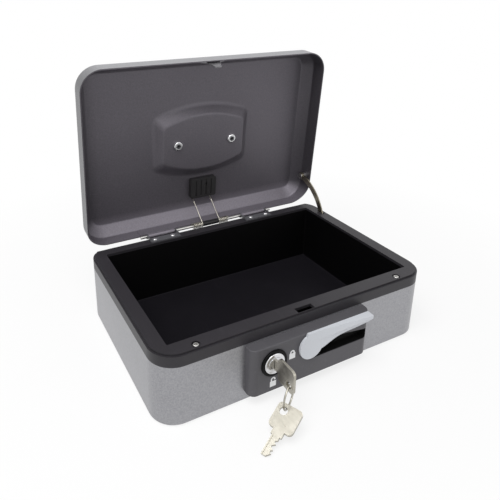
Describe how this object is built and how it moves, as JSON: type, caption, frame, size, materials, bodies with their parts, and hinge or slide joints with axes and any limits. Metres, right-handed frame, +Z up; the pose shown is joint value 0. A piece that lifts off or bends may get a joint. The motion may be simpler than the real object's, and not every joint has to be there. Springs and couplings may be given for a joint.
{
  "type": "cash box",
  "caption": "Small steel cash box with sprung lid, dark rim frame, inner tray, thumb lever latch, cylinder lock with key and spare key on a ring, and folding handle.",
  "frame": {"origin": "centre of the flat underside that the box stands on", "axes": "+X to the right seen from the front, +Y to the back where the hinge is, +Z up; the lid is open at rest"},
  "size_m": [0.25, 0.2425, 0.2298],
  "materials": {
    "grey_paint": "satin metallic grey paint",
    "rim_plastic": "dark grey moulded, semi-gloss",
    "tray_plastic": "black moulded, fine grain",
    "housing_plastic": "mid grey moulded, fine grain",
    "black_plastic": "black moulded",
    "lever_plastic": "light grey moulded, smooth",
    "lock_chrome": "polished",
    "key_nickel": "nickel plated, worn",
    "zinc_steel": "zinc plated",
    "bracket_paint": "dark satin",
    "striker_steel": "dull zinc",
    "stay_yellow": "yellow passivated"
  },
  "bodies": {
    "base": {"body_shell": "grey_paint", "rim_frame": "rim_plastic", "inner_tray": "tray_plastic", "rim_screws": "zinc_steel", "lock_housing": "housing_plastic", "housing_screws": "zinc_steel", "lock_escutcheon": "black_plastic", "lock_barrel": "lock_chrome", "lock_nut": "zinc_steel", "latch_guide": "black_plastic", "hinge_brackets": "bracket_paint", "hinge_rivets": "zinc_steel", "hinge_pin": "zinc_steel", "hinge_sleeve": "black_plastic"},
    "lid": {"lid_shell": "grey_paint", "hinge_lid_leaf": "grey_paint", "lid_springs": "zinc_steel", "spring_pad": "black_plastic", "lid_striker": "striker_steel", "stay_rivet": "zinc_steel", "handle_posts": "bracket_paint", "handle_nuts": "zinc_steel"},
    "stay": {"lid_stay": "stay_yellow"},
    "handle": {"carry_handle": "black_plastic"},
    "lever": {"release_lever": "lever_plastic", "lever_spring": "zinc_steel", "lever_clip": "zinc_steel"},
    "latch": {"latch_slide": "zinc_steel"},
    "plug": {"lock_plug": "lock_chrome", "lock_cam": "zinc_steel", "cam_screw": "zinc_steel"},
    "key": {"key_in_lock": "key_nickel"},
    "ring": {"key_ring": "key_nickel"},
    "spare": {"spare_key": "key_nickel"}
  },
  "joints": [
    {"name": "lid_hinge", "type": "hinge", "parent": "base", "child": "lid", "pos_m": [0, 0.084, 0.0603], "axis": [1, 0, 0], "range_deg": [0, 85], "stiffness_Nm_per_rad": 0.28, "springref_deg": -22.92},
    {"name": "stay_swing", "type": "hinge", "parent": "lid", "child": "stay", "pos_m": [0.1196, 0.089, 0.08915], "axis": [1, 0, 0], "range_deg": [-30, 0]},
    {"name": "handle_swing", "type": "hinge", "parent": "lid", "child": "handle", "pos_m": [0, 0.0964, 0.14571], "axis": [1, 0, 0], "range_deg": [0, 90]},
    {"name": "lever_press", "type": "hinge", "parent": "base", "child": "lever", "pos_m": [-0.006, -0.094, 0.037], "axis": [0, 1, 0], "range_deg": [0, 15], "stiffness_Nm_per_rad": 0.08, "springref_deg": -20.05},
    {"name": "latch_travel", "type": "slide", "parent": "base", "child": "latch", "axis": [1, 0, 0], "range_m": [0, 0.0024]},
    {"name": "lock_turn", "type": "hinge", "parent": "base", "child": "plug", "pos_m": [-0.0383, -0.094, 0.0337], "axis": [0, -1, 0], "range_deg": [0, 90]},
    {"name": "key_draw", "type": "slide", "parent": "plug", "child": "key", "axis": [0, -1, 0], "range_m": [0, 0.024]},
    {"name": "ring_swing", "type": "hinge", "parent": "key", "child": "ring", "pos_m": [-0.0383, -0.1136, 0.0288], "axis": [0, 1, 0], "range_deg": [0, 20]},
    {"name": "spare_key_swing", "type": "hinge", "parent": "ring", "child": "spare", "pos_m": [-0.04434, -0.11752, 0.01336], "axis": [-0.5391, -0.3501, 0.766], "range_deg": [0, 60]}
  ],
  "couplings": [
    {"joint": "stay_swing", "follows": "lid_hinge", "ratio": -0.35},
    {"joint": "latch_travel", "follows": "lever_press", "m_per_rad": 0.009}
  ]
}
